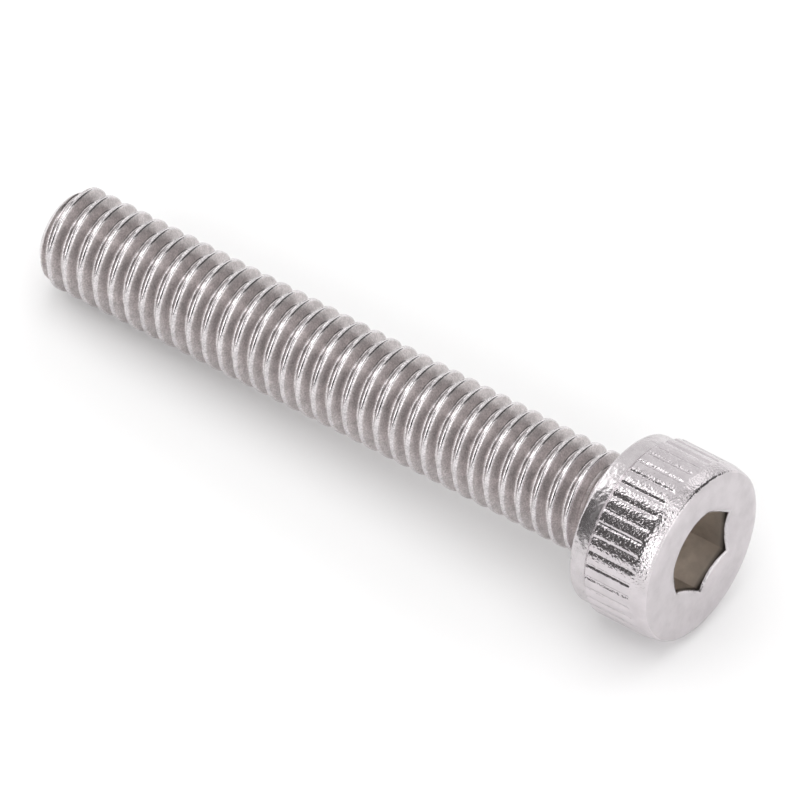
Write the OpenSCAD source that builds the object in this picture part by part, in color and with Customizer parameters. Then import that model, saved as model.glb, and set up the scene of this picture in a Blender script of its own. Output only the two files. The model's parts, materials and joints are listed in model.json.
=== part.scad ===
// Hex socket cap screw, metric coarse thread, threaded up to the head.
// The screw is drawn on its own axis: the bearing face under the head lies at z = 0, the head
// reaches up and the shank hangs down. lie_down() then lays it on its side, as it comes to rest
// on a flat surface at z = 0: on the knurl's lower edge and on the last full crest of the thread,
// each with the middle of one side down.

/* [Thread] */
// Diameter over the crests of the thread
thread_d = 3.92; // [3.6:0.02:4.4]
// Distance from one crest to the next
pitch = 0.7; // [0.65:0.05:0.9]
// Height of the thread from root to crest
thread_depth = 0.4; // [0.3:0.01:0.42]
// Angle between the two flanks of a groove
flank_angle = 60; // [50:1:65]
// Width of the rolled crest
crest_w = 0.12; // [0.06:0.01:0.16]
// Angle around the axis at which a crest crosses the plane of the bearing face
thread_start = 127; // [0:1:359]

/* [Shank] */
// Length under the head
shank_l = 25; // [12:1:27]
// Diameter of the flat at the tip, smaller than the root of the thread
tip_flat_d = 2.96; // [2.4:0.02:3.0]
// Angle of the tip chamfer, measured from the axis
tip_angle = 45; // [35:1:60]
// Diameter of the plain neck between the head and the thread
neck_d = 3.42; // [3.3:0.02:3.5]
// Length of the plain neck, with its fillet
neck_l = 0.4; // [0.35:0.05:1]
// Radius of the fillet between the neck and the bearing face
neck_fillet = 0.27; // [0.1:0.01:0.3]

/* [Head] */
// Height of the head
head_h = 3.55; // [3.2:0.05:4.4]
// Diameter over the knurl
knurl_d = 6.84; // [6.8:0.02:7.2]
// Diameter at the rim of the end face, to which a plain shoulder tapers from the knurl
rim_d = 6.66; // [6.5:0.02:6.8]
// Diameter of the plain collar next to the bearing face
collar_d = 6.52; // [6.3:0.02:6.56]
// Length of the collar
collar_l = 0.7; // [0.4:0.05:1]
// Radius of the rounding at the edge of the bearing face
bearing_round = 0.16; // [0.05:0.01:0.3]
// Diameter of the flat middle of the end face
face_flat_d = 5.7; // [5:0.1:6]
// Drop of the end face from its flat middle to the rim
face_drop = 0.11; // [0.04:0.01:0.2]
// Radius of the rounding at the rim of the end face
rim_round = 0.12; // [0.03:0.01:0.15]

/* [Knurl] */
// Number of grooves around the head
knurl_n = 39; // [24:1:44]
// Length of the grooves, from the collar toward the end face
knurl_l = 2; // [1:0.05:2.2]
// Depth of a groove
knurl_depth = 0.06; // [0.04:0.01:0.14]
// Width of a groove at the surface
knurl_w = 0.22; // [0.15:0.01:0.3]
// Width of a groove at its bottom
knurl_floor_w = 0.05; // [0.02:0.01:0.1]
// Angle around the axis of the first groove
knurl_turn = 4.7; // [0:0.1:15]

/* [Socket] */
// Width of the hexagon across its flats
hex_af = 3.02; // [2.6:0.01:3.2]
// Depth of the hexagon
hex_depth = 2; // [1.5:0.1:2.1]
// Angle around the axis of one corner of the hexagon
hex_turn = 55; // [0:1:59]
// Width by which the countersink at the mouth passes the hexagon's corners
sink_past = 0.15; // [0.01:0.01:0.2]
// Angle between opposite sides of the countersink
sink_angle = 140; // [110:5:160]
// Diameter of the drilled hollow in the floor of the socket
drill_d = 2.7; // [2:0.05:2.8]
// Angle between opposite sides of the drilled hollow
drill_angle = 130; // [118:1:140]

/* [Smoothness] */
// Sides of the thread for each turn
thread_sides = 36; // [24:2:36]
// Steps in each rounded edge of the head
arc_steps = 5; // [3:1:8]

/* [Hidden] */

steel = "#b9b0b0";
turn = 360;
crest_r = thread_d / 2;
root_r = crest_r - thread_depth;
collar_r = collar_d / 2;
knurl_r = knurl_d / 2;
rim_r = rim_d / 2;
tip_flat_r = tip_flat_d / 2;
neck_r = neck_d / 2;
flank_w = thread_depth * tan(flank_angle / 2);
root_w = pitch - crest_w - 2 * flank_w;

// The thread ends in a small shoulder on the neck, and its grooves fade out over the last turn
shoulder = 0.05;
thread_top = -neck_l;
fade_l = pitch;

// The tip's chamfer starts on the crest this far above the flat
tip_chamfer = (crest_r - tip_flat_r) / tan(tip_angle);

// Corner radius of the hexagon and the two cones of the socket
hex_corner_r = hex_af / 2 / cos(turn / 12);
sink_r = hex_corner_r + sink_past;
sink_depth = sink_r / tan(sink_angle / 2);
drill_depth = drill_d / 2 / tan(drill_angle / 2);

// Past a face that a tool cuts through
over = 0.1;

// The knurl stands out of the collar with a slope of 45 degrees
knurl_start = collar_l + knurl_r - collar_r;
knurl_end = knurl_start + knurl_l;

// The grooves stop this far short of the knurl's upper edge
groove_rest = 0.05;

// Points of an arc about [cx, cy], from angle a0 to angle a1
function arc(cx, cy, r, a0, a1) = [
    for (i = [0 : arc_steps])
        let (a = a0 + (a1 - a0) * i / arc_steps)
        [cx + r * cos(a), cy + r * sin(a)]
];

// Distance along the axis from a point to the middle of the nearest crest
function crest_gap(angle, z) =
    let (u = z / pitch - (angle - thread_start) / turn)
    abs(u - round(u)) * pitch;

// Radius of the endless thread: crest, straight flank, root
function thread_r(angle, z) =
    let (flank = (crest_gap(angle, z) - crest_w / 2) / flank_w)
    crest_r - thread_depth * min(1, max(0, flank));

// Radius of the screw's thread: it is limited by the tip's chamfer and fades out at the neck
function shank_r(angle, z) =
    let (tip_r = tip_flat_r + (z + shank_l) * tan(tip_angle))
    let (fade = max(0, 1 + (z - thread_top) / fade_l))
    let (floor_r = root_r + (neck_r + shoulder - root_r) * fade)
    let (end_r = neck_r + shoulder + (thread_top - z) * tan(tip_angle))
    min(tip_r, end_r, max(floor_r, thread_r(angle, z)));

// The thread is a grid of lines that follow the helix: four lines for each turn, at the edges
// of the crest and of the root. Line i at side j reaches one pitch higher after a full turn,
// where it joins line i + 4. Past the ends of the thread the lines run along the end rings.
edges = [-crest_w / 2, crest_w / 2, crest_w / 2 + flank_w, crest_w / 2 + flank_w + root_w];
first_turn = floor(-shank_l / pitch) - 1;
last_turn = ceil(thread_top / pitch) + 3;
lines = (last_turn - first_turn) * len(edges);

function side_angle(j) = turn * (j + 0.5) / thread_sides;
function free_z(i, j) =
    let (start = (side_angle(j) - thread_start) / turn + first_turn + floor(i / len(edges)))
    start * pitch + edges[i % len(edges)];
function line_z(i, j) = min(thread_top, max(-shank_l, free_z(i, j)));
function ring_point(angle, z) =
    let (r = shank_r(angle, z))
    [r * cos(angle), r * sin(angle), z];

// Number of a point: the two end rings come first, then the grid, then the two middles
ring_low = 0;
ring_high = thread_sides;
grid = 2 * thread_sides;
middle_low = grid + lines * thread_sides;
middle_high = middle_low + 1;
function grid_id(i, j) =
    let (z = free_z(i, j))
    z <= -shank_l ? ring_low + j : z >= thread_top ? ring_high + j : grid + i * thread_sides + j;
function wrap_id(i, j) =
    j < thread_sides ? grid_id(i, j) : grid_id(i + len(edges), 0);
function is_face(f) = f[0] != f[1] && f[1] != f[2] && f[2] != f[0];

module thread() {
    points = concat(
        [for (j = [0 : thread_sides - 1]) ring_point(side_angle(j), -shank_l)],
        [for (j = [0 : thread_sides - 1]) ring_point(side_angle(j), thread_top)],
        [for (i = [0 : lines - 1], j = [0 : thread_sides - 1])
            ring_point(side_angle(j), line_z(i, j))],
        [[0, 0, -shank_l], [0, 0, thread_top]]
    );
    walls = [
        for (i = [0 : lines - len(edges) - 2], j = [0 : thread_sides - 1])
            let (a = wrap_id(i, j), b = wrap_id(i, j + 1))
            let (c = wrap_id(i + 1, j + 1), d = wrap_id(i + 1, j))
            for (f = [[a, c, b], [a, d, c]])
                if (is_face(f)) f
    ];
    ends = [
        for (j = [0 : thread_sides - 1])
            let (next = (j + 1) % thread_sides)
            for (f = [[middle_low, ring_low + j, ring_low + next],
                      [middle_high, ring_high + next, ring_high + j]])
                f
    ];
    polyhedron(points, concat(walls, ends), convexity = 10);
}

// Half section of the head with its neck: the neck reaches down into the thread
module head_section() {
    neck_low = thread_top - 2 * shoulder;
    polygon(concat(
        [[0, neck_low], [neck_r, neck_low]],
        arc(neck_r + neck_fillet, -neck_fillet, neck_fillet, 180, 90),
        arc(collar_r - bearing_round, bearing_round, bearing_round, -90, 0),
        [[collar_r, collar_l], [knurl_r, knurl_start]],
        [[knurl_r, knurl_end]],
        arc(rim_r - rim_round, head_h - face_drop - rim_round, rim_round, 0, 80),
        [[face_flat_d / 2, head_h], [0, head_h]]
    ));
}

// One groove of the knurl, on the side of the x axis. It runs out over the collar's edge.
module knurl_groove() {
    flank_run = (knurl_w - knurl_floor_w) / 2;
    half = knurl_w / 2 + flank_run * over / knurl_depth;
    translate([0, 0, collar_l])
        linear_extrude(knurl_end - groove_rest - collar_l)
            polygon([
                [knurl_r - knurl_depth, knurl_floor_w / 2],
                [knurl_r + over, half],
                [knurl_r + over, -half],
                [knurl_r - knurl_depth, -knurl_floor_w / 2]
            ]);
}

// The hexagon, the countersink at its mouth and the drilled hollow in its floor
module socket() {
    rotate(hex_turn)
        translate([0, 0, head_h - hex_depth])
            cylinder(r = hex_corner_r, h = hex_depth + over, $fn = 6);
    translate([0, 0, head_h - sink_depth])
        cylinder(r1 = 0, r2 = sink_r * (1 + over / sink_depth), h = sink_depth + over, $fn = 96);
    translate([0, 0, head_h - hex_depth - drill_depth])
        cylinder(r1 = 0, r2 = drill_d / 2, h = drill_depth, $fn = 96);
}

module upright_screw() {
    difference() {
        rotate_extrude($fn = 192) head_section();
        for (i = [0 : knurl_n - 1])
            rotate(knurl_turn + turn * i / knurl_n) knurl_groove();
        socket();
    }
    thread();
}

// The screw's tilt when it lies: the knurl's lower edge and the lowest full crest touch down,
// the crest with the middle of a side
low_turn = ceil((crest_w / 2 + tip_chamfer - shank_l) / pitch + thread_start / turn);
low_crest = (low_turn - thread_start / turn) * pitch - crest_w / 2;
low_r = crest_r * cos(turn / 2 / thread_sides);
tilt = atan((knurl_r - low_r) / (knurl_start - low_crest));
axis_height = knurl_r * cos(tilt) - knurl_start * sin(tilt);
tip_reach = shank_l * cos(tilt) + tip_flat_r * sin(tilt);
end_reach = head_h * cos(tilt) + face_flat_d / 2 * sin(tilt);

module lie_down() {
    translate([(tip_reach - end_reach) / 2, 0, axis_height])
        rotate([0, 90 - tilt, 0])
            children();
}

module cap_screw() {
    color(steel) lie_down() upright_screw();
}

cap_screw();
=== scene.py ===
"""Hex socket cap screw of stainless steel, lying on a pale floor.

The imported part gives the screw's place: its bearing face and its axis. On that axis this script
builds the visible screw as one closed mesh, worked out in millimetres, with a rolled thread, a
knurled head and a hexagon socket, and gives each zone its own steel finish.
"""

import json
import logging
from dataclasses import dataclass, field
from enum import Enum
from typing import ClassVar, Dict, List, Tuple

import bpy
import numpy as np
from mathutils import Matrix, Vector


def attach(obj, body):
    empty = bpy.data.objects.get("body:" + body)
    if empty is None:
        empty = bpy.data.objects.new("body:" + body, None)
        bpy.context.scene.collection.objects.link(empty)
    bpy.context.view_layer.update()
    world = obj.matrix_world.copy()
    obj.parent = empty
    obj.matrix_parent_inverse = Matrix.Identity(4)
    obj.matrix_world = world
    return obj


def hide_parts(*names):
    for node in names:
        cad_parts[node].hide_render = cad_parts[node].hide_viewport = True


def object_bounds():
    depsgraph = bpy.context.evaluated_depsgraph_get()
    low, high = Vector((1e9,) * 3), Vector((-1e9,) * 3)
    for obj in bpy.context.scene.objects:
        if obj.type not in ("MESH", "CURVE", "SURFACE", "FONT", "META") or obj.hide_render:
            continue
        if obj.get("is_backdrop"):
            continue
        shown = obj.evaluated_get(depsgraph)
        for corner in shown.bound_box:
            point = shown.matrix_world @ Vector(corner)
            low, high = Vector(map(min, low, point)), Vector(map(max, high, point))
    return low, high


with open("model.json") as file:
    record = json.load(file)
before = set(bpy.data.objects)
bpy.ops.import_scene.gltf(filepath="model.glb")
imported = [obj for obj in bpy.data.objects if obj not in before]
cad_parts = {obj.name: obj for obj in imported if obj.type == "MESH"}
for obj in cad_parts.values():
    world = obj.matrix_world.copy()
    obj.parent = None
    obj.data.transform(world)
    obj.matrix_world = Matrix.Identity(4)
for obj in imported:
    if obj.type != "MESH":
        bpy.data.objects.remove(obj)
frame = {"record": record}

log = logging.getLogger("cap_screw")

MM = 0.001
TURN = 2.0 * np.pi
SIXTH_TURN = TURN / 6.0
FRAME_SIDE_PX = 800

Bounds = Tuple[List[float], List[float]]
Colour = Tuple[float, float, float]
Pair = Tuple[float, float]


class Zone(Enum):
    """Zones of the screw's surface, in the order of its material slots."""

    THREAD = 0
    BARREL = 1
    END_FACE = 2
    SOCKET = 3
    COLLAR = 4


@dataclass(frozen=True)
class ScrewAxis:
    """The screw's own frame: z runs along the axis toward the head, x points down at rest.

    Attributes:
        origin: Middle of the bearing face, in millimetres of the row frame.
        along: Unit vector along the axis, toward the head.
    """

    origin: np.ndarray
    along: np.ndarray

    @classmethod
    def from_record(cls, record: Dict) -> "ScrewAxis":
        """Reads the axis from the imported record's mounts.

        Args:
            record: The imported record.

        Returns:
            The axis through the bearing face, toward the head's end face.
        """
        mounts = {mount["name"]: mount for mount in record["mounts"]}
        outward = np.array(mounts["bearing_face"]["axis"], float)
        origin = np.array(mounts["bearing_face"]["pos_m"], float) / MM
        return cls(origin=origin, along=-outward / np.linalg.norm(outward))

    def to_row(self, points: np.ndarray) -> np.ndarray:
        """Moves points from the screw's frame to the row frame.

        Args:
            points: Array (n, 3) in millimetres.

        Returns:
            Array (n, 3) in metres: origin + x * down + y * side + z * along.
        """
        side = np.array([0.0, 1.0, 0.0])
        down = np.cross(side, self.along)
        turned = points @ np.stack([down, side, self.along])
        return (self.origin + turned) * MM


@dataclass
class MeshParts:
    """Points, faces and zones of a mesh in the making.

    Attributes:
        points: Blocks of points, arrays (n, 3) in millimetres.
        quads: Blocks of faces, arrays (n, 4) of point numbers.
        zones: For each block of faces, the value of its zone.
        count: Number of points so far.
    """

    points: List[np.ndarray] = field(default_factory=list)
    quads: List[np.ndarray] = field(default_factory=list)
    zones: List[np.ndarray] = field(default_factory=list)
    count: int = 0

    def add_points(self, points: np.ndarray) -> np.ndarray:
        """Adds points and numbers them.

        Args:
            points: Array (..., 3) in millimetres.

        Returns:
            The points' numbers, in the shape of the array without its last axis.
        """
        ids = self.count + np.arange(points[..., 0].size).reshape(points.shape[:-1])
        self.points.append(points.reshape(-1, 3))
        self.count += ids.size
        return ids

    def add_grid(self, ids: np.ndarray, zone: Zone) -> None:
        """Spans quads between neighbouring rows and columns of numbered points.

        Args:
            ids: Array (rows, columns) of point numbers; a closed grid repeats its first column.
            zone: The zone that the quads belong to.
        """
        quads = np.stack([ids[:-1, :-1], ids[:-1, 1:], ids[1:, 1:], ids[1:, :-1]], -1)
        self.add_faces(quads.reshape(-1, 4), zone)

    def add_rings(self, rows: np.ndarray, zone: Zone) -> None:
        """Spans quads all the way round between neighbouring rings of numbered points.

        Args:
            rows: Array (rings, columns) of point numbers.
            zone: The zone that the quads belong to.
        """
        self.add_grid(np.concatenate([rows, rows[:, :1]], axis=1), zone)

    def add_faces(self, quads: np.ndarray, zone: Zone) -> None:
        """Adds quads whose points may coincide; what has no area is dropped.

        Args:
            quads: Array (n, 4) of point numbers. A triangle repeats one of its numbers.
            zone: The zone that the quads belong to.
        """
        a, b, c, d = quads.T
        diagonals = (a != c) & (b != d)
        corners = (a != b).astype(int) + (b != c) + (c != d) + (d != a)
        kept = quads[diagonals & (corners >= 3)]
        self.quads.append(kept)
        self.zones.append(np.full(len(kept), zone.value))


def circle_points(radius: np.ndarray, angle: np.ndarray, height: np.ndarray) -> np.ndarray:
    """Turns cylinder coordinates into points (r cos a, r sin a, z).

    Args:
        radius: Distances from the axis.
        angle: Angles around the axis.
        height: Places along the axis.

    Returns:
        Array of points with the inputs' common shape and a last axis of 3.
    """
    radius, angle, height = np.broadcast_arrays(radius, angle, height)
    return np.stack([radius * np.cos(angle), radius * np.sin(angle), height], -1)


def arc_profile(centre: Pair, radius: float, span_deg: Pair, steps: int) -> np.ndarray:
    """Points (r, z) along an arc: centre + radius * (cos a, sin a).

    Args:
        centre: Middle of the arc, as distance from the axis and height.
        radius: Radius of the arc.
        span_deg: First and last angle in degrees.
        steps: Number of steps between the two.

    Returns:
        Array (steps + 1, 2).
    """
    angle = np.radians(np.linspace(*span_deg, steps + 1))
    across = centre[0] + radius * np.cos(angle)
    return np.stack([across, centre[1] + radius * np.sin(angle)], -1)


def smooth_min(a: np.ndarray, b: np.ndarray, width: float) -> np.ndarray:
    """Lower of two values with the corner between them rounded.

    The formula is min(a, b) - h * h / (4 * width) with h = max(width - |a - b|, 0).

    Args:
        a: First values.
        b: Second values.
        width: Difference at which the rounding starts.

    Returns:
        The rounded minimum.
    """
    near = np.maximum(width - np.abs(a - b), 0.0)
    return np.minimum(a, b) - near * near / (4.0 * width)


@dataclass(frozen=True)
class Neck:
    """The short plain neck between the thread and the head.

    Attributes:
        radius: Its radius in millimetres.
        length: Its length in millimetres.
    """

    radius: float = 1.71
    length: float = 0.4


@dataclass
class Thread:
    """The rolled thread from the tip's flat to the neck, with its sizes in millimetres.

    Attributes:
        neck: The neck that follows the thread.
        crest_radius: Distance of the crest from the axis.
        depth: Depth of the groove.
        pitch: Rise of the helix in one turn.
        flank_deg: Angle between a flank and a plane across the axis.
        crest_width: Width of the crest between its two flanks.
        crest_softness: Height over which the crest's edges are rounded.
        root_softness: Height over which the root is rounded.
        seam_depth: Depth of the seam that rolling leaves in the crest.
        seam_reach: Half the width of the seam.
        start_deg: Angle at which the crest would meet the bearing face's height.
        length: Distance from the bearing face to the tip.
        tip_radius: Radius of the tip's flat.
        tip_deg: Angle between the tip's chamfer and the axis.
        dish_shares: Rings of the shallow dish in the tip, as shares of the tip's radius.
        dish_depths: Depths of those rings.
        shoulder: Step from the neck up to the thread's upper ring.
        shoulder_softness: Height over which the edge next to that ring is rounded.
        sides: Number of points in each turn.
        spare_turns: Turns of lines beyond each end, which run along the end rings.
        half_offsets: Distances of the lines on each side of the crest's middle. One more line
            runs along that middle, and one along the middle of the root.
    """

    neck: Neck
    crest_radius: float = 1.952
    depth: float = 0.4
    pitch: float = 0.7
    flank_deg: float = 30.0
    crest_width: float = 0.14
    crest_softness: float = 0.055
    root_softness: float = 0.07
    seam_depth: float = 0.014
    seam_reach: float = 0.05
    start_deg: float = 127.0
    length: float = 24.999
    tip_radius: float = 1.48
    tip_deg: float = 45.0
    dish_shares: Tuple[float, ...] = (0.93, 0.82, 0.55, 0.25)
    dish_depths: Tuple[float, ...] = (0.0, 0.01, 0.05, 0.06)
    shoulder: float = 0.05
    shoulder_softness: float = 0.02
    sides: int = 78
    spare_turns: int = 2
    half_offsets: Tuple[float, ...] = (
        0.02, 0.036, 0.045, 0.055, 0.066, 0.08, 0.1, 0.15, 0.22, 0.275, 0.315
    )

    @property
    def steps_per_pitch(self) -> int:
        """Number of lines in one pitch: both sides of the crest, its middle and the root's."""
        return 2 * len(self.half_offsets) + 2

    def profile_offsets(self) -> np.ndarray:
        """Places of the lines within one pitch, measured from the middle of a crest.

        Returns:
            Array of offsets in millimetres, from half a pitch below the crest upward.
        """
        half = np.array(self.half_offsets)
        return np.concatenate([[-self.pitch / 2.0], -half[::-1], [0.0], half])

    def groove_radius(self, angle: np.ndarray, height: np.ndarray) -> np.ndarray:
        """Radius of the endless thread: flat crest with its seam, straight flank, rounded root.

        Rolling leaves a shallow seam in the middle of the crest:
        seam = depth * max(1 - (distance from the middle / reach) squared, 0).

        Args:
            angle: Angles around the axis.
            height: Places along the axis.

        Returns:
            The distance of the surface from the axis.
        """
        turns = height / self.pitch - (angle - np.radians(self.start_deg)) / TURN
        gap = np.abs(turns - np.round(turns)) * self.pitch
        flank = (gap - self.crest_width / 2.0) / np.tan(np.radians(self.flank_deg))
        top = smooth_min(np.full_like(flank, 0.0), -flank, self.crest_softness)
        seam = self.seam_depth * np.maximum(1.0 - (gap / self.seam_reach) ** 2, 0.0)
        fall = smooth_min(-top, np.full_like(top, self.depth), self.root_softness)
        return self.crest_radius - fall - seam

    def radius(self, angle: np.ndarray, height: np.ndarray) -> np.ndarray:
        """Radius of the screw's thread, with its chamfered tip and its fading end.

        The tip's cone and the cone at the neck limit the crest; the root rises to the neck over
        the last turn.

        Args:
            angle: Angles around the axis.
            height: Places along the axis.

        Returns:
            The distance of the surface from the axis.
        """
        top = -self.neck.length
        end_radius = self.neck.radius + self.shoulder
        root = self.crest_radius - self.depth
        neck_cone = end_radius + (top - height)
        fade = np.clip(1.0 + (height - top) / self.pitch, 0.0, 1.0)
        floor = root + (end_radius - root) * fade
        body = np.maximum(self.groove_radius(angle, height), floor)
        below_neck = smooth_min(body, neck_cone, self.shoulder_softness)
        return np.minimum(below_neck, self.cone_radius(height))

    def cone_radius(self, height: np.ndarray) -> np.ndarray:
        """Radius of the tip's chamfer: tip radius + (height above the tip) * tan(tip angle).

        Args:
            height: Places along the axis.

        Returns:
            The distance of the cone from the axis.
        """
        return self.tip_radius + (height + self.length) * np.tan(np.radians(self.tip_deg))

    def build(self, parts: MeshParts) -> np.ndarray:
        """Adds the thread as a grid of lines that follow the helix.

        Line i lies at z = pitch * (turn of i + (angle - start angle) / full turn) + offset of i.
        After a full turn it meets the line one pitch higher. Past the thread's ends the lines
        run along the two end rings.

        Args:
            parts: The mesh in the making.

        Returns:
            Numbers of the points of the ring under the head.
        """
        offsets = self.profile_offsets()
        low, high = -self.length, -self.neck.length
        first = int(np.floor(low / self.pitch)) - self.spare_turns
        last = int(np.ceil(high / self.pitch)) + self.spare_turns
        angle = TURN * np.arange(self.sides) / self.sides
        turns = (angle - np.radians(self.start_deg)) / TURN
        crests = np.arange(first, last + 1) * self.pitch
        line_start = (crests[:, None] + offsets[None, :]).ravel()
        free = line_start[:, None] + turns[None, :] * self.pitch
        height = np.clip(free, low, high)
        radius = self.radius(angle[None, :], height)
        grid = parts.add_points(circle_points(radius, angle[None, :], height))
        end_heights = np.array([[low], [high]])
        end_radius = self.radius(angle[None, :], end_heights)
        rings = parts.add_points(circle_points(end_radius, angle[None, :], end_heights))
        ids = np.where(free >= high, rings[1][None, :], grid)
        ids = np.where(free <= low, rings[0][None, :], ids)
        step = self.steps_per_pitch
        closed = np.concatenate([ids[:-step], ids[step:, :1]], axis=1)
        parts.add_grid(closed, Zone.THREAD)
        self.close_tip(parts, rings[0], angle)
        return rings[1]

    def close_tip(self, parts: MeshParts, ring: np.ndarray, angle: np.ndarray) -> None:
        """Closes the tip with a flat that has a shallow dish, as a sheared blank leaves it.

        A ring of the dish lies at the share of the tip's radius and at z = its depth - length.

        Args:
            parts: The mesh in the making.
            ring: Numbers of the points around the tip's flat.
            angle: Angles of those points.
        """
        radius = np.array(self.dish_shares)[:, None] * self.tip_radius
        height = np.array(self.dish_depths)[:, None] - self.length
        dish = parts.add_points(circle_points(radius, angle[None, :], height))
        rows = np.concatenate([dish[::-1], ring[None, :]])
        parts.add_rings(rows, Zone.THREAD)
        middle = parts.add_points(np.array([[0.0, 0.0, height[-1, 0]]]))
        pole = np.full(self.sides, middle[0])
        parts.add_rings(np.stack([pole, rows[0]]), Zone.THREAD)


@dataclass
class Socket:
    """The blind hexagon socket in the head's end face, with its sizes in millimetres.

    Attributes:
        flats: Width of the hexagon across its flats.
        depth: Depth of the hexagon below the end face.
        turn_deg: Angle of one of its corners.
        off: Place of its middle, which lies a little off the screw's axis.
        sink_past: Distance of the countersink's edge past the hexagon's corners.
        sink_deg: Angle of the countersink's cone from side to side.
        lip_round: Radius of the rounding between the countersink and the walls.
        lip_deg: Angles of the rings on that rounding, from the countersink to the walls.
        wall_rings: Number of rings down the walls, below the rounding.
        drill_radius: Radius of the drilled hollow in the floor.
        drill_deg: Angle of the hollow's cone from side to side.
        drill_shares: Rings of the hollow, as shares of its radius.
    """

    flats: float = 3.02
    depth: float = 2.0
    turn_deg: float = 52.0
    off: Pair = (-0.186, 0.044)
    sink_past: float = 0.15
    sink_deg: float = 120.0
    lip_round: float = 0.09
    lip_deg: Tuple[float, ...] = (90.0, 60.0, 30.0, 0.0)
    wall_rings: int = 4
    drill_radius: float = 1.35
    drill_deg: float = 130.0
    drill_shares: Tuple[float, ...] = (1.0, 0.6, 0.25)

    @property
    def middle(self) -> np.ndarray:
        """Place of the socket's middle in the screw's frame, at height zero."""
        return np.array([*self.off, 0.0])

    @property
    def sink_radius(self) -> float:
        """Radius of the countersink's edge: that of the hexagon's corners and a little more."""
        return self.flats / 2.0 / np.cos(SIXTH_TURN / 2.0) + self.sink_past

    def angles(self, columns: int, first_deg: float) -> np.ndarray:
        """Even angles around the socket, so that six columns run down the hexagon's corners.

        Args:
            columns: Number of columns around the head.
            first_deg: Angle of the first column on the barrel.

        Returns:
            One angle for each column, close to the angle of that column on the barrel.
        """
        step = TURN / columns
        corner = np.radians(self.turn_deg)
        column = np.round((corner - np.radians(first_deg)) / step)
        return corner + (np.arange(columns) - column) * step

    def hex_radius(self, angle: np.ndarray) -> np.ndarray:
        """Distance of the walls from the middle: half the width / cos of the angle to a flat.

        Args:
            angle: Angles around the socket's middle.

        Returns:
            The distance at each angle.
        """
        from_corner = np.mod(angle - np.radians(self.turn_deg), SIXTH_TURN)
        return self.flats / 2.0 / np.cos(from_corner - SIXTH_TURN / 2.0)

    def build(self, parts: MeshParts, edge: np.ndarray, angle: np.ndarray, top: float) -> None:
        """Adds the countersink, the rounding at the mouth, the walls and the floor.

        The countersink is a cone, so the rounding starts on it at the height
        z = top - (sink radius - hexagon radius - rounding) / tan(half the cone's angle).
        The rounding is as smooth as the collar, so it takes the collar's zone.

        Args:
            parts: The mesh in the making.
            edge: Numbers of the points around the countersink's edge.
            angle: Angles of those points around the socket's middle.
            top: Height of the end face.
        """
        hexagon = self.hex_radius(angle)
        slope = 1.0 / np.tan(np.radians(self.sink_deg / 2.0))
        start_height = top - (self.sink_radius - hexagon - self.lip_round) * slope
        lip = np.radians(np.array(self.lip_deg))[:, None]
        lip_radius = hexagon[None, :] + self.lip_round * (1.0 - np.cos(lip))
        lip_height = start_height[None, :] - self.lip_round * (1.0 - np.sin(lip))
        lip_points = circle_points(lip_radius, angle[None, :], lip_height)
        mouth = parts.add_points(lip_points + self.middle)
        parts.add_rings(np.concatenate([edge[None, :], mouth[:1]]), Zone.END_FACE)
        parts.add_rings(mouth, Zone.COLLAR)

        floor = top - self.depth
        share = np.linspace(0.0, 1.0, self.wall_rings + 1)[1:, None]
        wall_height = lip_height[-1:] * (1.0 - share) + floor * share
        wall_points = circle_points(hexagon[None, :], angle[None, :], wall_height)
        walls = parts.add_points(wall_points + self.middle)
        parts.add_rings(np.concatenate([mouth[-1:], walls]), Zone.SOCKET)
        self.build_hollow(parts, walls[-1], angle, floor)

    def build_hollow(
        self, parts: MeshParts, foot: np.ndarray, angle: np.ndarray, floor: float
    ) -> None:
        """Adds the floor with its drilled hollow, a cone that falls toward its middle.

        A ring of the hollow lies at z = floor - (drill radius - ring radius) / tan(half the
        cone's angle).

        Args:
            parts: The mesh in the making.
            foot: Numbers of the points at the foot of the walls.
            angle: Angles of those points around the socket's middle.
            floor: Height of the socket's floor.
        """
        cone_slope = np.tan(np.radians(self.drill_deg / 2.0))
        radius = np.array(self.drill_shares) * self.drill_radius
        height = floor - ((self.drill_radius - radius) / cone_slope)[:, None]
        hollow_points = circle_points(radius[:, None], angle[None, :], height)
        hollow = parts.add_points(hollow_points + self.middle)
        parts.add_rings(np.concatenate([foot[None, :], hollow]), Zone.SOCKET)
        deepest = floor - self.drill_radius / cone_slope
        tip = parts.add_points(np.array([[0.0, 0.0, deepest]]) + self.middle)
        pole = np.full(len(angle), tip[0])
        parts.add_rings(np.stack([hollow[-1], pole]), Zone.SOCKET)


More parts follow.
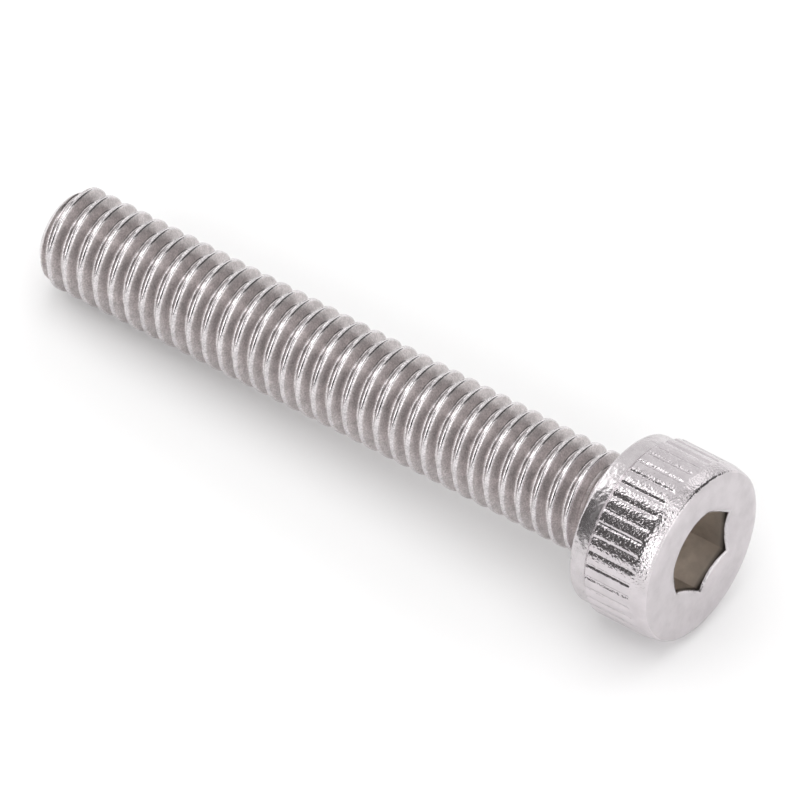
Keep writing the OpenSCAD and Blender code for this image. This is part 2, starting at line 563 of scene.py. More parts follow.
@dataclass
class Head:
    """The knurled head, with its sizes in millimetres.

    Attributes:
        neck: The neck between the thread and the head.
        socket: The hexagon socket in the end face.
        height: Distance from the bearing face to the end face.
        neck_fillet: Radius of the fillet between the neck and the bearing face.
        collar_radius: Radius of the plain collar next to the bearing face.
        collar_length: Length of the collar.
        bearing_round: Radius of the rounding between the bearing face and the collar.
        round_steps: Number of steps on the fillet and on that rounding.
        knurl_radius: Radius of the knurled band and of the shoulder's lower edge.
        knurl_length: Length of the knurled band.
        knurl_depth: Depth of its grooves.
        knurl_count: Number of its grooves.
        knurl_turn_deg: Angle of its first groove.
        knurl_rings: Number of rings where the grooves have their full depth.
        groove_runout: Length over which the grooves fade toward the shoulder.
        runout_cuts: Shares of the grooves' depth that are cut along that length.
        groove_places: Places of the columns between two grooves, as shares of their distance.
        groove_heights: Height of the surface there: 0 in the groove and 1 between grooves.
        shoulder_rings: Number of rings on the plain shoulder.
        shoulder_power: How late the shoulder tapers: with 1 it would be straight.
        rim_radius: Outer radius of the rim.
        rim_round: Radius of the rim's rounding.
        rim_span_deg: First and last angle of that rounding.
        rim_steps: Number of steps on it.
        face_drop: How far the end face has dropped where the rim's full rounding would end.
        face_rings: Number of rings on the dropped part of the end face.
        flat_radius: Radius of the end face's flat middle.
        flat_rings: Number of rings on it.
    """

    neck: Neck
    socket: Socket
    height: float = 3.55
    neck_fillet: float = 0.27
    collar_radius: float = 3.26
    collar_length: float = 0.7
    bearing_round: float = 0.16
    round_steps: int = 6
    knurl_radius: float = 3.4165
    knurl_length: float = 2.0
    knurl_depth: float = 0.042
    knurl_count: int = 39
    knurl_turn_deg: float = 4.7
    knurl_rings: int = 5
    groove_runout: float = 0.18
    runout_cuts: Tuple[float, ...] = (0.8, 0.4, 0.0)
    groove_places: Tuple[float, ...] = (0.0, 0.04, 0.07, 0.17, 0.21, 0.5, 0.79, 0.83, 0.93, 0.96)
    groove_heights: Tuple[float, ...] = (0.0, 0.0, 0.15, 0.85, 1.0, 1.0, 1.0, 0.85, 0.15, 0.0)
    shoulder_rings: int = 4
    shoulder_power: float = 1.3
    rim_radius: float = 3.33
    rim_round: float = 0.12
    rim_span_deg: Pair = (10.0, 70.0)
    rim_steps: int = 7
    face_drop: float = 0.11
    face_rings: int = 5
    flat_radius: float = 2.85
    flat_rings: int = 6

    @property
    def columns(self) -> int:
        """Number of points around the head."""
        return self.knurl_count * len(self.groove_places)

    @property
    def collar_top_ring(self) -> int:
        """Number of the ring at the collar's upper edge, after the neck's ring and two arcs."""
        return 1 + 2 * (self.round_steps + 1)

    def angles(self) -> np.ndarray:
        """Angles of the columns, crowded at the grooves of the knurl.

        Returns:
            One angle for each column.
        """
        step = TURN / self.knurl_count
        starts = np.arange(self.knurl_count)[:, None] * step
        places = np.array(self.groove_places)[None, :] * step
        return (np.radians(self.knurl_turn_deg) + starts + places).ravel()

    def shoulder_profile(self, low: float, rim_start: np.ndarray) -> np.ndarray:
        """Points (r, z) on the plain shoulder between the knurl and the rim.

        The radius is knurl radius - (knurl radius - rim's radius) * share ** power.

        Args:
            low: Height of the knurl's upper end.
            rim_start: Radius and height at which the rim's rounding starts.

        Returns:
            Array (shoulder rings, 2).
        """
        share = np.linspace(0.0, 1.0, self.shoulder_rings + 2)[1:-1]
        fall = (self.knurl_radius - rim_start[0]) * share ** self.shoulder_power
        return np.stack([self.knurl_radius - fall, low + (rim_start[1] - low) * share], -1)

    def face_profile(self, rim_end: np.ndarray) -> np.ndarray:
        """Points (r, z) on the dropped part of the end face, from the rim inward.

        The height is head height - drop * share ** 2, with a share of 1 at the rim and 0 at the
        flat middle.

        Args:
            rim_end: Radius and height at which the rim's rounding ends.

        Returns:
            Array (face rings, 2).
        """
        share = np.linspace(1.0, 0.0, self.face_rings + 1)[1:]
        radius = self.flat_radius + (rim_end[0] - self.flat_radius) * share
        return np.stack([radius, self.height - (self.height - rim_end[1]) * share ** 2], -1)

    def barrel_profile(self) -> Tuple[np.ndarray, np.ndarray]:
        """Half section of the head from the neck to the end face's flat middle.

        Returns:
            Array (rings, 2) of radius and height, and for each ring the share of the knurl's
            depth that is cut there.
        """
        neck, fillet, rounding = self.neck, self.neck_fillet, self.bearing_round
        knurl_low = self.collar_length + self.knurl_radius - self.collar_radius
        knurl_high = knurl_low + self.knurl_length
        full_high = knurl_high - self.groove_runout
        full_rings = np.linspace(knurl_low, full_high, self.knurl_rings)
        runout_rings = np.linspace(full_high, knurl_high, len(self.runout_cuts) + 1)[1:]
        rim_middle = (self.rim_radius - self.rim_round,
                      self.height - self.face_drop - self.rim_round)
        rim = arc_profile(rim_middle, self.rim_round, self.rim_span_deg, self.rim_steps)
        pieces = [
            (np.array([[neck.radius, -neck.length]]), 0.0),
            (arc_profile((neck.radius + fillet, -fillet), fillet, (180.0, 90.0),
                         self.round_steps), 0.0),
            (arc_profile((self.collar_radius - rounding, rounding), rounding, (-90.0, 0.0),
                         self.round_steps), 0.0),
            (np.array([[self.collar_radius, self.collar_length]]), 0.0),
            (self.knurl_points(full_rings), 1.0),
            (self.knurl_points(runout_rings), np.array(self.runout_cuts)),
            (self.shoulder_profile(knurl_high, rim[0]), 0.0),
            (rim, 0.0),
            (self.face_profile(rim[-1]), 0.0),
        ]
        profile = np.concatenate([points for points, _ in pieces])
        cuts = [np.broadcast_to(share, len(points)) for points, share in pieces]
        return profile, np.concatenate(cuts)

    def knurl_points(self, heights: np.ndarray) -> np.ndarray:
        """Points (r, z) at the knurl's radius and the given heights."""
        return np.stack([np.full(len(heights), self.knurl_radius), heights], -1)

    def build(self, parts: MeshParts, thread_ring: np.ndarray) -> None:
        """Adds the head from the thread's upper ring to the bottom of the socket.

        The radius is that of the half section - knurl depth * cut * (1 - groove height).

        Args:
            parts: The mesh in the making.
            thread_ring: Numbers of the points of the thread's upper ring.
        """
        angle = self.angles()
        profile, cut = self.barrel_profile()
        groove = 1.0 - np.tile(np.array(self.groove_heights), self.knurl_count)
        radius = profile[:, :1] - self.knurl_depth * cut[:, None] * groove[None, :]
        rings = parts.add_points(circle_points(radius, angle[None, :], profile[:, 1:]))
        self.join_thread(parts, thread_ring, rings[0])
        collar_top = self.collar_top_ring
        parts.add_rings(rings[:collar_top + 1], Zone.COLLAR)
        parts.add_rings(rings[collar_top:-self.face_rings], Zone.BARREL)
        parts.add_rings(rings[-self.face_rings - 1:], Zone.END_FACE)
        self.build_flat(parts, rings[-1], angle)

    def join_thread(self, parts: MeshParts, coarse: np.ndarray, fine: np.ndarray) -> None:
        """Joins the thread's ring to the neck's ring, which has more points for each of its own.

        The first half of the fine points between two coarse ones makes triangles with the coarse
        point before them and the rest with the one after them; one more triangle lies between.

        Args:
            parts: The mesh in the making.
            coarse: Numbers of the thread's ring, from angle zero on.
            fine: Numbers of the neck's ring, from the knurl's first angle on.
        """
        ratio = len(fine) // len(coarse)
        shift = int(round(np.radians(self.knurl_turn_deg) / (TURN / len(fine))))
        turned = np.roll(fine, shift)
        steps = [np.roll(turned, -step)[::ratio] for step in range(ratio + 1)]
        before, after = coarse, np.roll(coarse, -1)
        half = (ratio + 1) // 2
        faces = []
        for step in range(ratio):
            near = before if step < half else after
            faces.append(np.stack([near, steps[step + 1], steps[step], steps[step]], -1))
        faces.append(np.stack([before, after, steps[half], steps[half]], -1))
        parts.add_faces(np.concatenate(faces), Zone.THREAD)

    def build_flat(self, parts: MeshParts, outer: np.ndarray, outer_angle: np.ndarray) -> None:
        """Adds the flat middle of the end face, and the socket in it.

        Its rings pass evenly from the barrel's columns to the socket's: angle = barrel angle *
        (1 - share) + socket angle * share, moved by share * the socket's place.

        Args:
            parts: The mesh in the making.
            outer: Numbers of the ring around the flat.
            outer_angle: Angles of that ring's points.
        """
        socket = self.socket
        inner_angle = socket.angles(self.columns, self.knurl_turn_deg)
        radius = np.linspace(self.flat_radius, socket.sink_radius, self.flat_rings + 1)[1:, None]
        share = np.linspace(0.0, 1.0, self.flat_rings + 1)[1:, None]
        angle = outer_angle[None, :] * (1.0 - share) + inner_angle[None, :] * share
        points = circle_points(radius, angle, self.height) + share[..., None] * socket.middle
        flat = parts.add_points(points)
        parts.add_rings(np.concatenate([outer[None, :], flat]), Zone.END_FACE)
        socket.build(parts, flat[-1], inner_angle, self.height)


@dataclass(frozen=True)
class EdgeTint:
    """How the colour and roughness change toward one end of the mesh's edge share: on the thread
    the crest's and root's finish, in the socket a painted shade below the mouth.

    The share is 0 in the thread's root and deep in the socket, and 1 on the thread's crest and
    at the socket's mouth.

    Attributes:
        colour: Colour of the metal at that end, linear.
        roughness: Roughness at that end.
        start: Share at which the change starts.
        end: Share at which it is complete.
    """
    # colour: Colour at that end, linear: the metal's own, and in the socket the painted shade.

    colour: Colour
    roughness: float
    start: float
    end: float


@dataclass(frozen=True)
class Noise:
    """One kind of noise pattern.

    Attributes:
        detail: Number of finer layers in the pattern.
        roughness: Strength of the finer layers.
    """

    detail: float
    roughness: float = 0.5

    def add(
        self, tree: bpy.types.NodeTree, place: bpy.types.NodeSocket, scale: float
    ) -> bpy.types.NodeSocket:
        """Adds the pattern to a material.

        Args:
            tree: The material's nodes.
            place: The socket that gives the place on the screw.
            scale: Number of the pattern's cells in one unit of that place.

        Returns:
            The socket with the pattern's value.
        """
        noise = tree.nodes.new("ShaderNodeTexNoise")
        noise.inputs["Scale"].default_value = scale
        noise.inputs["Detail"].default_value = self.detail
        noise.inputs["Roughness"].default_value = self.roughness
        tree.links.new(place, noise.inputs["Vector"])
        return noise.outputs["Fac"]


def add_range(
    tree: bpy.types.NodeTree, value: bpy.types.NodeSocket, source: Pair, target: Pair = (0.0, 1.0)
) -> bpy.types.Node:
    """Adds a node that maps a value from one span to another and holds it at the ends.

    Args:
        tree: The material's nodes.
        value: The value.
        source: The span that the value is taken from.
        target: The span that it is mapped to.

    Returns:
        The node, whose result is the mapped value.
    """
    node = tree.nodes.new("ShaderNodeMapRange")
    for name, end in zip(("From Min", "From Max", "To Min", "To Max"), (*source, *target)):
        node.inputs[name].default_value = end
    tree.links.new(value, node.inputs["Value"])
    return node


def add_bump(
    tree: bpy.types.NodeTree, pattern: bpy.types.NodeSocket, height_mm: float, strength: float
) -> bpy.types.Node:
    """Adds a node that raises the surface by a pattern.

    Args:
        tree: The material's nodes.
        pattern: The pattern's value.
        height_mm: Height that a value of 1 stands for.
        strength: Share of the height that shows.

    Returns:
        The node, whose normal is the raised surface's.
    """
    bump = tree.nodes.new("ShaderNodeBump")
    bump.inputs["Strength"].default_value = strength
    bump.inputs["Distance"].default_value = height_mm * MM
    tree.links.new(pattern, bump.inputs["Height"])
    return bump


@dataclass(frozen=True)
class SteelFinish:
    """One finish of the screw's steel.

    Attributes:
        name: Name of the material.
        colour: Colour of the metal, linear.
        dulling: How much darker its duller patches are, as a share.
        roughness: Roughness of the smooth places.
        rough_spread: How much rougher the duller patches are.
        grain_mm: Size of the fine grain around and along the screw.
        grain_height_mm: Height of the grain.
        dent_mm: Size of the dents left by rolling; zero leaves them out.
        dent_height_mm: Depth of the dents.
        speck: How much the metal's brightness varies from speck to speck, as a share.
        patch_mm: Size of the duller patches.
        edges: Changes of the finish toward the ends of the edge share; in the socket a painted
            shade below the mouth.
        speck_mm: Size of the specks.
        dull_span: Values of the patches' noise between which the metal gets darker.
        even_span: Values of a noise between which gloss and specks change.
        patches: Noise of the duller patches.
        specks: Noise of the specks.
        grain: Noise of the grain.
        grain_strength: Share of the grain's height that shows.
        dents: Noise of the dents.
    """

    name: str
    colour: Colour
    dulling: float
    roughness: float
    rough_spread: float
    grain_mm: Pair
    grain_height_mm: float
    dent_mm: float = 0.0
    dent_height_mm: float = 0.0
    speck: float = 0.0
    patch_mm: float = 0.7
    edges: Tuple[EdgeTint, ...] = ()
    speck_mm: ClassVar[float] = 0.06
    dull_span: ClassVar[Pair] = (0.4, 0.7)
    even_span: ClassVar[Pair] = (0.3, 0.7)
    patches: ClassVar[Noise] = Noise(detail=4.0, roughness=0.6)
    specks: ClassVar[Noise] = Noise(detail=1.0)
    grain: ClassVar[Noise] = Noise(detail=5.0, roughness=0.65)
    grain_strength: ClassVar[float] = 0.5
    dents: ClassVar[Noise] = Noise(detail=1.5)

    def material(self) -> bpy.types.Material:
        """Builds the finish as a node material.

        Returns:
            The material, which reads object coordinates, the UV map and the edge share.
        """
        material = bpy.data.materials.new(self.name)
        material.use_nodes = True
        tree = material.node_tree
        shader = tree.nodes["Principled BSDF"]
        shader.inputs["Metallic"].default_value = 1.0
        place = tree.nodes.new("ShaderNodeTexCoord").outputs["Object"]
        patches = self.patches.add(tree, place, 1.0 / (self.patch_mm * MM))
        self.add_colour(tree, shader, place, patches)
        self.add_gloss(tree, shader, patches)
        bump = self.add_grain(tree)
        if self.dent_mm > 0.0:
            dents = self.dents.add(tree, place, 1.0 / (self.dent_mm * MM))
            grain_normal = bump.outputs["Normal"]
            bump = add_bump(tree, dents, self.dent_height_mm, 1.0)
            tree.links.new(grain_normal, bump.inputs["Normal"])
        tree.links.new(bump.outputs["Normal"], shader.inputs["Normal"])
        return material

    def add_colour(
        self,
        tree: bpy.types.NodeTree,
        shader: bpy.types.Node,
        place: bpy.types.NodeSocket,
        patches: bpy.types.NodeSocket,
    ) -> None:
        """Tints the metal: darker in the duller patches, specked, with its own edge colours,
        which in the socket are a painted shade.

        Args:
            tree: The material's nodes.
            shader: The surface shader.
            place: The socket that gives object coordinates.
            patches: The noise that places the duller patches.
        """
        dull = add_range(tree, patches, self.dull_span, (1.0, 1.0 - self.dulling))
        specks = self.specks.add(tree, place, 1.0 / (self.speck_mm * MM))
        speckle = add_range(tree, specks, self.even_span, (1.0 - self.speck, 1.0 + self.speck))
        value = tree.nodes.new("ShaderNodeMath")
        value.operation = "MULTIPLY"
        tree.links.new(dull.outputs["Result"], value.inputs[0])
        tree.links.new(speckle.outputs["Result"], value.inputs[1])
        metal = tree.nodes.new("ShaderNodeRGB")
        metal.outputs["Color"].default_value = (*self.colour, 1.0)
        colour = metal.outputs["Color"]
        for edge in self.edges:
            share = add_range(tree, self.edge_share(tree), (edge.start, edge.end))
            mix = tree.nodes.new("ShaderNodeMixRGB")
            mix.inputs["Color2"].default_value = (*edge.colour, 1.0)
            tree.links.new(share.outputs["Result"], mix.inputs["Fac"])
            tree.links.new(colour, mix.inputs["Color1"])
            colour = mix.outputs["Color"]
        tint = tree.nodes.new("ShaderNodeHueSaturation")
        tree.links.new(value.outputs["Value"], tint.inputs["Value"])
        tree.links.new(colour, tint.inputs["Color"])
        tree.links.new(tint.outputs["Color"], shader.inputs["Base Color"])

    def add_gloss(
        self, tree: bpy.types.NodeTree, shader: bpy.types.Node, patches: bpy.types.NodeSocket
    ) -> None:
        """Sets the roughness: rougher in the duller patches, with its own values at the edges.

        Args:
            tree: The material's nodes.
            shader: The surface shader.
            patches: The noise that places the duller patches.
        """
        rougher = (self.roughness, self.roughness + self.rough_spread)
        gloss = add_range(tree, patches, self.even_span, rougher)
        for edge in self.edges:
            span = (edge.start, edge.end)
            change = add_range(tree, self.edge_share(tree), span, (0.0, edge.roughness))
            tree.links.new(gloss.outputs["Result"], change.inputs["To Min"])
            gloss = change
        tree.links.new(gloss.outputs["Result"], shader.inputs["Roughness"])

    def edge_share(self, tree: bpy.types.NodeTree) -> bpy.types.NodeSocket:
        """Reads the mesh's attribute that grows toward the edges.

        Args:
            tree: The material's nodes.

        Returns:
            The socket with the share, from 0 to 1.
        """
        share = tree.nodes.new("ShaderNodeAttribute")
        share.attribute_name = ScrewMesh.edge_name
        return share.outputs["Fac"]

    def add_grain(self, tree: bpy.types.NodeTree) -> bpy.types.Node:
        """Adds the fine grain, stretched on the UV map.

        Args:
            tree: The material's nodes.

        Returns:
            The bump node.
        """
        uv_map = tree.nodes.new("ShaderNodeUVMap")
        uv_map.uv_map = ScrewMesh.uv_name
        stretch = tree.nodes.new("ShaderNodeMapping")
        around, along = self.grain_mm
        stretch.inputs["Scale"].default_value = (1.0 / around, 1.0 / along, 1.0)
        tree.links.new(uv_map.outputs["UV"], stretch.inputs["Vector"])
        grain = self.grain.add(tree, stretch.outputs["Vector"], 1.0)
        return add_bump(tree, grain, self.grain_height_mm, self.grain_strength)


ROLLED_THREAD = SteelFinish(
    name="rolled_thread_steel",
    colour=(0.595, 0.552, 0.55),
    dulling=0.22,
    roughness=0.33,
    rough_spread=0.1,
    grain_mm=(0.6, 0.03),
    grain_height_mm=0.004,
    dent_mm=0.06,
    dent_height_mm=0.0015,
    speck=0.2,
    patch_mm=0.4,
    edges=(
        EdgeTint(colour=(0.67, 0.63, 0.635), roughness=0.18, start=0.15, end=0.03),
        # This crest tint also lies on the tip's cone, where it is partly painted light.
        EdgeTint(colour=(0.71, 0.675, 0.685), roughness=0.09, start=0.82, end=0.95),
    ),
)
PEENED_BARREL = SteelFinish(
    name="peened_barrel_steel",
    colour=(0.66, 0.62, 0.64),
    dulling=0.13,
    roughness=0.125,
    rough_spread=0.06,
    grain_mm=(0.04, 0.04),
    grain_height_mm=0.003,
    dent_mm=0.1,
    dent_height_mm=0.022,
)
SMOOTH_COLLAR = SteelFinish(
    name="smooth_collar_steel",
    colour=(0.64, 0.605, 0.62),
    dulling=0.15,
    roughness=0.2,
    rough_spread=0.1,
    grain_mm=(0.05, 0.05),
    grain_height_mm=0.003,
    dent_mm=0.22,
    dent_height_mm=0.03,
)
SATIN_FACE = SteelFinish(
    name="satin_face_steel",
    colour=(0.615, 0.58, 0.597),
    dulling=0.1,
    roughness=0.3,
    rough_spread=0.1,
    grain_mm=(0.05, 0.05),
    grain_height_mm=0.004,
    dent_mm=0.3,
    dent_height_mm=0.008,
)
DULL_SOCKET_AND_PAINTED_SHADE = SteelFinish(
    name="dull_socket_steel_and_painted_shade",
    colour=(0.66, 0.605, 0.555),
    dulling=0.2,
    roughness=0.36,
    rough_spread=0.15,
    grain_mm=(0.03, 0.3),
    grain_height_mm=0.004,
    # Painted shade: the socket's walls turn near black from 0.42 mm below the end face up to the
    # mouth, fully black above 0.23 mm.
    edges=(EdgeTint(colour=(0.07, 0.06, 0.055), roughness=0.4, start=0.79, end=0.885),),
)
FINISHES = {
    Zone.THREAD: ROLLED_THREAD,
    Zone.BARREL: PEENED_BARREL,
    Zone.END_FACE: SATIN_FACE,
    Zone.SOCKET: DULL_SOCKET_AND_PAINTED_SHADE,
    Zone.COLLAR: SMOOTH_COLLAR,
}


@dataclass
class ScrewMesh:
    """The finished screw: thread and head in one closed mesh.

    Attributes:
        axis: The screw's axis.
        thread: The thread.
        head: The head.
        sharp_deg: Angle between two faces from which their edge is sharp.
        dark_mouth: Depth below the end face at which the edge share ends, in millimetres; the
            socket's painted shade below the mouth is laid along that share.
        cone_skin: Distance in millimetres within which a point counts as on the tip's cone.
        uv_name: Name of the UV map.
        edge_name: Name of the edge share's attribute.
    """

    axis: ScrewAxis
    thread: Thread
    head: Head
    sharp_deg: float = 34.0
    dark_mouth: float = 2.0
    cone_skin: float = 0.001
    uv_name: ClassVar[str] = "around_and_along"
    edge_name: ClassVar[str] = "edge_share"

    def build(self) -> bpy.types.Object:
        """Builds the mesh, its UV map and its materials.

        Returns:
            The screw's object, at the origin.
        """
        parts = MeshParts()
        ring = self.thread.build(parts)
        self.head.build(parts, ring)
        points = np.concatenate(parts.points)
        quads = np.concatenate(parts.quads)
        zones = np.concatenate(parts.zones)
        used, faces = np.unique(quads, return_inverse=True)
        faces = faces.reshape(quads.shape)
        points = points[used]
        mesh = bpy.data.meshes.new("screw")
        sizes, corners = self.face_corners(faces)
        self.fill(mesh, self.axis.to_row(points), sizes, corners)
        mesh.polygons.foreach_set("material_index", zones.astype(np.int32))
        self.add_uv(mesh, points, sizes, corners)
        self.add_edge_share(mesh, points)
        for zone in Zone:
            mesh.materials.append(FINISHES[zone].material())
        mesh.polygons.foreach_set("use_smooth", np.ones(len(sizes), bool))
        mesh.set_sharp_from_angle(angle=np.radians(self.sharp_deg))
        mesh.update()
        mesh.validate()
        screw = bpy.data.objects.new("screw", mesh)
        bpy.context.scene.collection.objects.link(screw)
        return screw

    def face_corners(self, faces: np.ndarray) -> Tuple[np.ndarray, np.ndarray]:
        """Turns quads with a repeated point into triangles.

        Args:
            faces: Array (n, 4) of point numbers.

        Returns:
            Number of corners of each face, and the corners of all faces in one row.
        """
        kept = faces != np.roll(faces, -1, axis=1)
        return kept.sum(axis=1), faces[kept]

    def fill(
        self, mesh: bpy.types.Mesh, points: np.ndarray, sizes: np.ndarray, corners: np.ndarray
    ) -> None:
        """Puts points and faces into a mesh.

        Args:
            mesh: The empty mesh.
            points: Array (n, 3) in metres.
            sizes: Number of corners of each face.
            corners: Point numbers of the corners of all faces.
        """
        mesh.vertices.add(len(points))
        mesh.vertices.foreach_set("co", points.astype(np.float32).ravel())
        mesh.loops.add(len(corners))
        mesh.loops.foreach_set("vertex_index", corners.astype(np.int32))
        starts = np.concatenate([[0], np.cumsum(sizes)[:-1]])
        mesh.polygons.add(len(sizes))
        mesh.polygons.foreach_set("loop_start", starts.astype(np.int32))
        mesh.update(calc_edges=True)

    def add_edge_share(self, mesh: bpy.types.Mesh, points: np.ndarray) -> None:
        """Stores how near each point is to the thread's crest or to the socket's mouth.

        On the shank the share is (distance from the axis - root radius) / depth of the thread,
        and 1 on the tip's cone, which so takes the crest's lighter tint, partly painted light. In
        the head it is 1 - depth below the end face / dark mouth; the socket's finish lays its
        painted shade along it.

        Args:
            mesh: The filled mesh.
            points: Array (n, 3) in the screw's frame, in millimetres.
        """
        thread, head = self.thread, self.head
        distance = np.hypot(points[:, 0], points[:, 1])
        crest = (distance - thread.crest_radius + thread.depth) / thread.depth
        on_cone = distance > thread.cone_radius(points[:, 2]) - self.cone_skin
        # The tip's cone counts as crest, so it takes the crest's lighter, glossier tint: partly
        # the chamfer's own finish, partly painted light that lifts the shade it mirrors from the
        # floor's shadow.
        crest = np.where(on_cone, 1.0, crest)
        # In the socket this share places the painted shade below the mouth.
        mouth = 1.0 - (head.height - points[:, 2]) / self.dark_mouth
        share = np.clip(np.where(points[:, 2] < 0.0, crest, mouth), 0.0, 1.0)
        layer = mesh.attributes.new(self.edge_name, "FLOAT", "POINT")
        layer.data.foreach_set("value", share.astype(np.float32))

    def add_uv(
        self, mesh: bpy.types.Mesh, points: np.ndarray, sizes: np.ndarray, corners: np.ndarray
    ) -> None:
        """Lays a UV map in millimetres: u runs around the screw and v along its section.

        u is the angle times the crest's radius; v is the height less the distance from the axis,
        so that it also changes across the end face. A face over the seam takes all its angles on
        one side of it.

        Args:
            mesh: The filled mesh.
            points: Array (n, 3) in the screw's frame, in millimetres.
            sizes: Number of corners of each face.
            corners: Point numbers of the corners of all faces.
        """
        angle = np.arctan2(points[:, 1], points[:, 0])[corners] % TURN
        face = np.repeat(np.arange(len(sizes)), sizes)
        widest = np.zeros(len(sizes))
        np.maximum.at(widest, face, angle)
        angle = np.where(widest[face] - angle > TURN / 2.0, angle + TURN, angle)
        distance = np.hypot(points[:, 0], points[:, 1])
        along = (points[:, 2] - distance)[corners]
        uv = np.stack([angle * self.thread.crest_radius, along], -1)
        layer = mesh.uv_layers.new(name=self.uv_name)
        layer.uv.foreach_set("vector", uv.astype(np.float32).ravel())


@dataclass(frozen=True)
class Camera:
    """The photograph's camera, far away and looking down on the lying screw.

    Attributes:
        turned_deg: How far it stands to the right of the front.
        raised_deg: How steeply it looks down.
        distance_mm: Its distance from what it looks at.
        pixels_per_mm: Scale of the picture at that distance.
        aim_height_mm: Height above the bearing face of the place on the axis that it aims at.
        aim_pixel: Pixel at which that place lies.
        sensor_mm: Width of the sensor.
        clip_factor: Its view reaches from distance / factor to distance * factor.
    """

    turned_deg: float = 37.05
    raised_deg: float = 47.9
    distance_mm: float = 750.0
    pixels_per_mm: float = 28.12
    aim_height_mm: float = -10.1
    aim_pixel: Pair = (395.6, 400.6)
    sensor_mm: float = 36.0
    clip_factor: float = 10.0

    def build(self, axis: ScrewAxis) -> bpy.types.Object:
        """Places the camera so that a point of the screw's axis lies at its pixel.

        Args:
            axis: The screw's axis.

        Returns:
            The camera's object, which is the scene's camera.
        """
        turned, raised = np.radians(self.turned_deg), np.radians(self.raised_deg)
        level = np.cos(raised)
        back = Vector((np.sin(turned) * level, -np.cos(turned) * level, np.sin(raised)))
        right = Vector((np.cos(turned), np.sin(turned), 0.0))
        up = back.cross(right)
        aim = Vector(axis.to_row(np.array([[0.0, 0.0, self.aim_height_mm]]))[0])
        off_right = (FRAME_SIDE_PX / 2.0 - self.aim_pixel[0]) / self.pixels_per_mm
        off_up = (self.aim_pixel[1] - FRAME_SIDE_PX / 2.0) / self.pixels_per_mm
        middle = aim + (right * off_right + up * off_up) * MM
        data = bpy.data.cameras.new("camera")
        data.sensor_width = self.sensor_mm
        data.lens = self.sensor_mm * self.pixels_per_mm * self.distance_mm / FRAME_SIDE_PX
        data.clip_start = self.distance_mm * MM / self.clip_factor
        data.clip_end = self.distance_mm * MM * self.clip_factor
        camera = bpy.data.objects.new("camera", data)
        place = middle + back * self.distance_mm * MM
        turn = Matrix((right, up, back)).transposed().to_4x4()
        camera.matrix_world = Matrix.Translation(place) @ turn
        bpy.context.scene.collection.objects.link(camera)
        bpy.context.scene.camera = camera
        return camera


@dataclass(frozen=True)
class SoftBox:
    """One soft light: an evenly lit rectangle that faces the screw.

    Attributes:
        name: Name of the light.
        toward: Direction from the screw to the light.
        distance_m: Distance from the screw.
        width_m: Width of the rectangle.
        height_m: Height of the rectangle.
        radiance: Brightness of the rectangle as seen in a mirror, where 1 is white.
        mirrored: Whether it shows in the steel, or lights the floor alone.
    """

    name: str
    toward: Tuple[float, float, float]
    distance_m: float
    width_m: float
    height_m: float
    radiance: float
    mirrored: bool = True

    def build(self) -> bpy.types.Object:
        """Places the light. Its power is radiance * pi * area.

        Returns:
            The light's object.
        """
        data = bpy.data.lights.new(self.name, "AREA")
        data.shape = "RECTANGLE"
        data.size = self.width_m
        data.size_y = self.height_m
        data.energy = self.radiance * np.pi * self.width_m * self.height_m
        light = bpy.data.objects.new(self.name, data)
        direction = Vector(self.toward).normalized()
        light.location = direction * self.distance_m
        light.rotation_euler = direction.to_track_quat("Z", "Y").to_euler()
        light.visible_glossy = self.mirrored
        light.visible_diffuse = not self.mirrored
        bpy.context.scene.collection.objects.link(light)
        return light


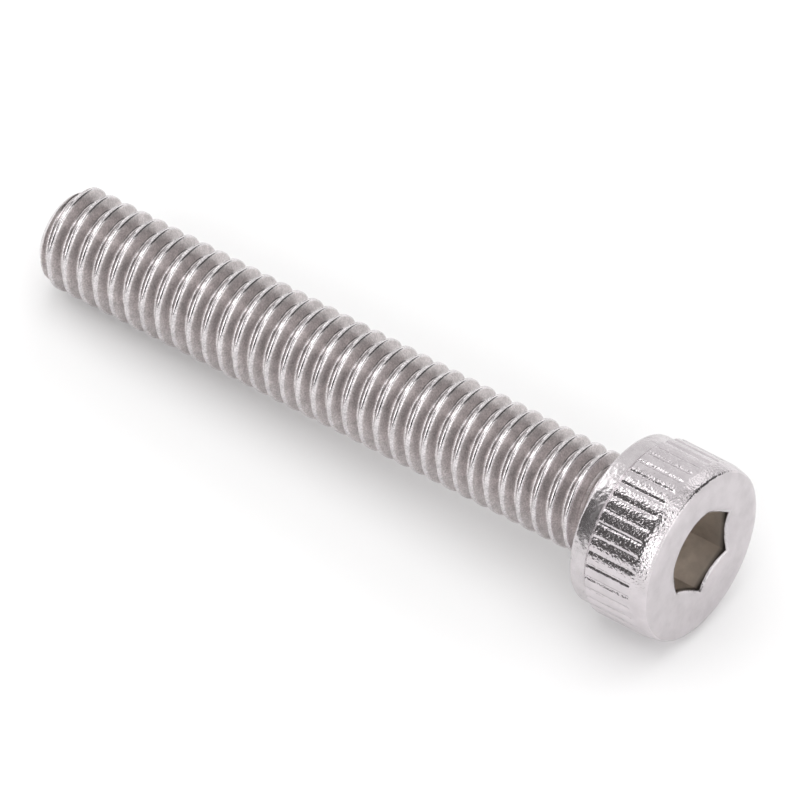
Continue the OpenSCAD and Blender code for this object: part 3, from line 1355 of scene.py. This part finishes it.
@dataclass
class Studio:
    """Pale floor and soft lights round the screw.

    Attributes:
        floor_side_m: Width of the square floor.
        floor_colour: Colour of the floor, linear.
        floor_roughness: Roughness of the floor.
        air_colour: Colour of the even light from all round, linear.
        air_strength: Strength of that light.
        boxes: The lights that show in the steel, and those that light the floor alone.
    """

    floor_side_m: float = 4.0
    floor_colour: Colour = (0.9, 0.9, 0.9)
    floor_roughness: float = 0.9
    air_colour: Colour = (1.0, 0.97, 0.96)
    air_strength: float = 0.11
    boxes: Tuple[SoftBox, ...] = (
        SoftBox("overhead_left_box", (-0.05, 0.16, 0.6), 0.62, 0.28, 0.16, 0.82),
        SoftBox("overhead_strip_box", (-0.3, -0.055, 0.6), 0.67, 0.16, 0.6, 1.44),
        SoftBox("overhead_right_box", (0.2, -0.05, 0.6), 0.66, 0.34, 0.5, 0.89),
        SoftBox("back_left_box", (-0.7, 0.6, 0.53), 0.75, 1.0, 1.05, 0.82),
        SoftBox("back_box", (-0.07, 0.6, 0.31), 0.62, 0.22, 0.75, 0.62),
        SoftBox("left_box", (-0.6, -0.05, 0.27), 0.66, 0.5, 0.75, 1.29),
        SoftBox("right_box", (0.62, 0.1, 0.2), 0.66, 0.5, 0.5, 1.4),
        SoftBox("front_right_box", (0.36, -0.5, 0.36), 0.7, 1.35, 0.85, 1.04),
        SoftBox("front_strip_box", (-0.03, -0.5, 0.6), 0.66, 0.15, 1.05, 1.44),
        SoftBox("floor_top_light", (0.0, 0.0, 1.0), 1.2, 1.4, 1.4, 1.46, mirrored=False),
        SoftBox("floor_front_light", (0.0, -0.9, 0.4), 0.95, 1.3, 0.8, 1.8, mirrored=False),
        SoftBox("floor_back_light", (0.0, 0.9, 0.4), 0.95, 1.3, 0.8, 1.6, mirrored=False),
        SoftBox("floor_left_light", (-0.9, 0.0, 0.4), 0.95, 1.3, 0.8, 1.6, mirrored=False),
        SoftBox("floor_right_light", (0.9, 0.0, 0.4), 0.95, 1.3, 0.8, 1.8, mirrored=False),
    )

    def build(self, floor_height_m: float) -> None:
        """Builds the floor, the lights and the air's even light.

        Args:
            floor_height_m: Height of the floor.
        """
        half = self.floor_side_m / 2.0
        corners = [(-half, -half), (half, -half), (half, half), (-half, half)]
        mesh = bpy.data.meshes.new("floor")
        mesh.from_pydata([(x, y, floor_height_m) for x, y in corners], [], [(0, 1, 2, 3)])
        material = bpy.data.materials.new("pale_floor")
        material.use_nodes = True
        shader = material.node_tree.nodes["Principled BSDF"]
        shader.inputs["Base Color"].default_value = (*self.floor_colour, 1.0)
        shader.inputs["Roughness"].default_value = self.floor_roughness
        shader.inputs["Specular IOR Level"].default_value = 0.0
        mesh.materials.append(material)
        floor = bpy.data.objects.new("floor", mesh)
        bpy.context.scene.collection.objects.link(floor)
        floor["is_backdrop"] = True
        for box in self.boxes:
            box.build()
        world = bpy.data.worlds.new("air")
        world.use_nodes = True
        background = world.node_tree.nodes["Background"]
        background.inputs["Color"].default_value = (*self.air_colour, 1.0)
        background.inputs["Strength"].default_value = self.air_strength
        bpy.context.scene.world = world
        bpy.context.scene.view_settings.view_transform = "Standard"


def plain_bounds() -> Bounds:
    """Box of the whole object as plain lists of numbers.

    Returns:
        Its lowest and highest corners in metres.
    """
    low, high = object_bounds()
    return [float(value) for value in low], [float(value) for value in high]


def main() -> None:
    """Builds the screw, the camera and the studio."""
    logging.basicConfig(level=logging.INFO, format="%(name)s: %(message)s")
    cad_box = plain_bounds()
    axis = ScrewAxis.from_record(frame["record"])
    neck = Neck()
    screw = ScrewMesh(axis=axis, thread=Thread(neck), head=Head(neck, Socket())).build()
    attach(screw, "root")
    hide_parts("cap_screw")
    log.info("screw: %d faces", len(screw.data.polygons))
    Studio().build(floor_height_m=cad_box[0][2])
    Camera().build(axis)
    log.info("studio and camera are set")


if __name__ == "__main__":
    main()
